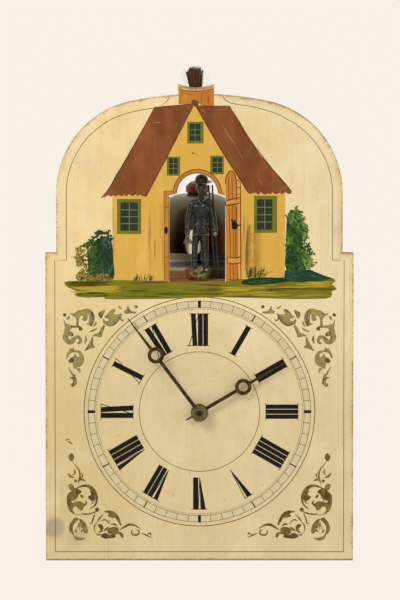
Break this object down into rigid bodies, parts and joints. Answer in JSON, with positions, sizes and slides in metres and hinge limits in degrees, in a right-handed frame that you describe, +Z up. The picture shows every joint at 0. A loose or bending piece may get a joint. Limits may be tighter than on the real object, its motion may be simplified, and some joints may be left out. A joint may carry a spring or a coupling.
{
  "type": "shield clock",
  "caption": "Wall clock with a painted arched wooden shield, wooden movement with going and strike trains, bell, pendulum, turning sweep in the doorway and a brush in the chimney.",
  "frame": {"origin": "centre of the hole in the hanger plate, on the plate's rear face", "axes": "+Z up, +X to the viewer's right, +Y back towards the wall, so the dial looks along -Y"},
  "size_m": [0.28, 0.171, 0.4518],
  "materials": {
    "painted_wood": "aged oil paint and varnish on softwood",
    "raw_wood": "planed softwood darkened by age",
    "old_wood": "dark worn hardwood",
    "steel": "drawn steel with a dull skin",
    "iron": "forged iron, dark and matt",
    "brass": "cast and turned brass, dulled",
    "dark_brass": "stamped brass with a dark patina",
    "bell_metal": "smooth dark cast bell",
    "figure_paint": "carved wood with dark green black paint",
    "bristle": "dark bristles"
  },
  "bodies": {
    "case": {"shield_board": "painted_wood", "shield_battens": "raw_wood", "batten_screws": "steel", "top_board": "raw_wood", "bottom_board": "raw_wood", "front_plate": "old_wood", "middle_plate": "old_wood", "rear_plate": "old_wood", "back_board": "raw_wood", "hanger_plate": "iron", "hanger_screws": "steel", "wall_pegs": "old_wood", "pivot_bushes": "brass", "bell": "bell_metal", "bell_post": "iron", "bell_knob": "old_wood", "pendulum_cock": "iron", "hand_stud": "steel", "motion_stud": "steel", "brush_guide": "raw_wood"},
    "left_leaf": {"left_door": "raw_wood", "left_door_knob": "old_wood"},
    "right_leaf": {"right_door": "raw_wood", "right_door_knob": "old_wood"},
    "striker": {"hammer_arbor": "steel", "hammer": "iron"},
    "going_great": {"going_great_arbor": "steel", "going_great_wheel": "brass", "going_sprocket": "old_wood"},
    "going_second": {"second_arbor": "steel", "second_wheel": "brass"},
    "escape": {"escape_arbor": "steel", "escape_wheel": "brass"},
    "rocker": {"anchor_arbor": "steel", "anchor": "steel", "crutch": "iron"},
    "pendulum": {"pendulum_rod": "steel", "pendulum_bob": "brass", "rating_nut": "brass"},
    "motion_drive": {"drive_wheel": "brass"},
    "minute": {"minute_pipe": "brass", "minute_hand": "dark_brass", "hand_nut": "dark_brass"},
    "reverser": {"reversing_wheel": "brass"},
    "hour": {"hour_wheel": "brass", "hour_hand": "dark_brass"},
    "strike_great": {"strike_great_arbor": "steel", "strike_great_wheel": "brass", "strike_sprocket": "old_wood"},
    "strike_second": {"strike_second_arbor": "steel", "strike_second_wheel": "brass"},
    "fly": {"fly_arbor": "steel", "fly_vane": "steel"},
    "sweep": {"rock_base": "figure_paint", "turning_wire": "steel", "sweep_figure": "figure_paint", "sweep_ladder": "figure_paint"},
    "brush": {"brush_rod": "steel", "chimney_brush": "bristle"}
  },
  "joints": [
    {"name": "minute_turn", "type": "hinge", "parent": "case", "child": "minute", "pos_m": [0, -0.12, -0.1482], "axis": [0, 1, 0], "continuous": true},
    {"name": "drive_turn", "type": "hinge", "parent": "case", "child": "motion_drive", "pos_m": [0, -0.1055, -0.1194], "axis": [0, 1, 0], "continuous": true},
    {"name": "reversing_turn", "type": "hinge", "parent": "case", "child": "reverser", "pos_m": [0, -0.112, -0.1702], "axis": [0, 1, 0], "continuous": true},
    {"name": "hour_turn", "type": "hinge", "parent": "case", "child": "hour", "pos_m": [0, -0.12, -0.1482], "axis": [0, 1, 0], "continuous": true},
    {"name": "second_turn", "type": "hinge", "parent": "case", "child": "going_second", "pos_m": [0, -0.077, -0.08965], "axis": [0, 1, 0], "continuous": true},
    {"name": "going_great_turn", "type": "hinge", "parent": "case", "child": "going_great", "pos_m": [0, -0.077, -0.1194], "axis": [0, 1, 0], "continuous": true},
    {"name": "escape_turn", "type": "hinge", "parent": "case", "child": "escape", "pos_m": [0, -0.077, -0.06565], "axis": [0, 1, 0], "continuous": true},
    {"name": "strike_second_turn", "type": "hinge", "parent": "case", "child": "strike_second", "pos_m": [0, -0.034, -0.08965], "axis": [0, 1, 0], "continuous": true},
    {"name": "strike_great_turn", "type": "hinge", "parent": "case", "child": "strike_great", "pos_m": [0, -0.034, -0.1194], "axis": [0, 1, 0], "continuous": true},
    {"name": "fly_turn", "type": "hinge", "parent": "case", "child": "fly", "pos_m": [0, -0.034, -0.06565], "axis": [0, 1, 0], "continuous": true},
    {"name": "pendulum_swing", "type": "hinge", "parent": "case", "child": "pendulum", "pos_m": [0, 0.012, -0.04365], "axis": [0, 1, 0], "range_deg": [-3, 3]},
    {"name": "anchor_rock", "type": "hinge", "parent": "case", "child": "rocker", "pos_m": [0, -0.04, -0.04365], "axis": [0, 1, 0], "range_deg": [-3, 3]},
    {"name": "hammer_lift", "type": "hinge", "parent": "case", "child": "striker", "pos_m": [0.017, -0.041, -0.07065], "axis": [0, -1, 0], "range_deg": [0, 10]},
    {"name": "brush_lift", "type": "slide", "parent": "case", "child": "brush", "axis": [0, 0, 1], "range_m": [0, 0.014]},
    {"name": "sweep_turn", "type": "hinge", "parent": "case", "child": "sweep", "pos_m": [-0.0019, -0.116, -0.0295], "axis": [0, 0, 1], "range_deg": [-20, 20]},
    {"name": "right_door_swing", "type": "hinge", "parent": "case", "child": "right_leaf", "pos_m": [0.0595, -0.0135, -0.11], "axis": [0, 0, 1], "range_deg": [0, 105]},
    {"name": "left_door_swing", "type": "hinge", "parent": "case", "child": "left_leaf", "pos_m": [-0.0595, -0.0135, -0.11], "axis": [0, 0, -1], "range_deg": [0, 105]}
  ],
  "couplings": [
    {"joint": "drive_turn", "follows": "minute_turn", "ratio": -1},
    {"joint": "reversing_turn", "follows": "minute_turn", "ratio": -0.33333},
    {"joint": "hour_turn", "follows": "minute_turn", "ratio": 0.083333},
    {"joint": "going_great_turn", "follows": "second_turn", "ratio": -0.09375},
    {"joint": "escape_turn", "follows": "second_turn", "ratio": -9},
    {"joint": "strike_great_turn", "follows": "strike_second_turn", "ratio": -0.09375},
    {"joint": "fly_turn", "follows": "strike_second_turn", "ratio": -9},
    {"joint": "anchor_rock", "follows": "pendulum_swing", "ratio": 1}
  ]
}
